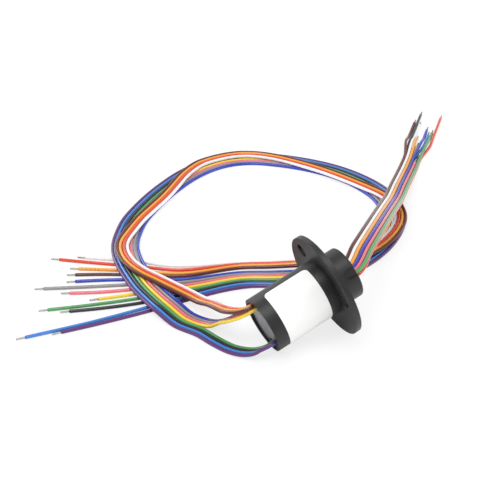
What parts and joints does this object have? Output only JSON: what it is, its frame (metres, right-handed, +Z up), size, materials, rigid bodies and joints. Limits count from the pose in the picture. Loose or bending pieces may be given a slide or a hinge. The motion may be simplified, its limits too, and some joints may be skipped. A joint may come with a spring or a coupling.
{
  "type": "slip ring",
  "caption": "Capsule slip ring with a round mounting flange, a turning hub on ball bearings and insulated flying leads at both ends.",
  "frame": {"origin": "middle of the bare slip ring, without its leads, at the height of the surface it lies on", "axes": "+Z up; the rotor axis lies in the XZ plane and rises towards +X, the rotor end; the capsule rests on its flange rim and its rear edge"},
  "size_m": [0.2599, 0.1702, 0.0397],
  "materials": {
    "housing_plastic": "satin, moulded",
    "cap_metal": "satin, fine turned",
    "potting_resin": "satin",
    "label_film": "smooth film",
    "bearing_steel": "ground",
    "ball_steel": "polished",
    "cage_brass": "satin",
    "spring_steel": "satin",
    "brush_board": "satin",
    "brush_gold": "bright",
    "shaft_aluminium": "turned",
    "ring_gold": "bright",
    "insulator_plastic": "satin",
    "lead_brown": "gloss, smooth insulation",
    "lead_orange": "gloss, smooth insulation",
    "lead_red": "gloss, smooth insulation",
    "lead_white": "gloss, smooth insulation",
    "lead_yellow": "gloss, smooth insulation",
    "lead_pink": "gloss, smooth insulation",
    "lead_grey": "gloss, smooth insulation",
    "lead_blue": "gloss, smooth insulation",
    "lead_violet": "gloss, smooth insulation",
    "lead_light_blue": "gloss, smooth insulation",
    "lead_black": "gloss, smooth insulation",
    "lead_green": "gloss, smooth insulation"
  },
  "bodies": {
    "capsule": {"stator_housing": "housing_plastic", "rear_cap": "cap_metal", "lead_potting": "potting_resin", "label": "label_film", "front_bearing_outer_ring": "bearing_steel", "rear_bearing_outer_ring": "bearing_steel", "preload_washer": "spring_steel", "upper_brush_block": "brush_board", "lower_brush_block": "brush_board", "upper_brush_wires": "brush_gold", "lower_brush_wires": "brush_gold", "stator_lead_brown": "lead_brown", "stator_lead_orange": "lead_orange", "stator_lead_red": "lead_red", "stator_lead_white": "lead_white", "stator_lead_yellow": "lead_yellow", "stator_lead_pink": "lead_pink", "stator_lead_grey": "lead_grey", "stator_lead_blue": "lead_blue", "stator_lead_violet": "lead_violet", "stator_lead_light_blue": "lead_light_blue", "stator_lead_black": "lead_black", "stator_lead_green": "lead_green", "rotor_lead_brown": "lead_brown", "rotor_lead_orange": "lead_orange", "rotor_lead_red": "lead_red", "rotor_lead_white": "lead_white", "rotor_lead_yellow": "lead_yellow", "rotor_lead_pink": "lead_pink", "rotor_lead_grey": "lead_grey", "rotor_lead_blue": "lead_blue", "rotor_lead_violet": "lead_violet", "rotor_lead_light_blue": "lead_light_blue", "rotor_lead_black": "lead_black", "rotor_lead_green": "lead_green"},
    "rotor": {"rotor_hub": "housing_plastic", "rotor_shaft": "shaft_aluminium", "retaining_clip": "spring_steel", "contact_rings": "ring_gold", "ring_insulators": "insulator_plastic", "rotor_potting": "potting_resin", "front_bearing_inner_ring": "bearing_steel", "rear_bearing_inner_ring": "bearing_steel"},
    "front_cage": {"front_bearing_cage": "cage_brass", "front_bearing_balls": "ball_steel"},
    "rear_cage": {"rear_bearing_cage": "cage_brass", "rear_bearing_balls": "ball_steel"}
  },
  "joints": [
    {"name": "rotor_spin", "type": "hinge", "parent": "capsule", "child": "rotor", "pos_m": [0.0079, 0, 0.01951], "axis": [0.9427, 0, 0.3337], "continuous": true},
    {"name": "front_cage_spin", "type": "hinge", "parent": "capsule", "child": "front_cage", "pos_m": [0.00592, 0, 0.01881], "axis": [0.9427, 0, 0.3337], "continuous": true},
    {"name": "rear_cage_spin", "type": "hinge", "parent": "capsule", "child": "rear_cage", "pos_m": [-0.01458, 0, 0.01155], "axis": [0.9427, 0, 0.3337], "continuous": true}
  ],
  "couplings": [
    {"joint": "front_cage_spin", "follows": "rotor_spin", "ratio": 0.448},
    {"joint": "rear_cage_spin", "follows": "rotor_spin", "ratio": 0.448}
  ]
}
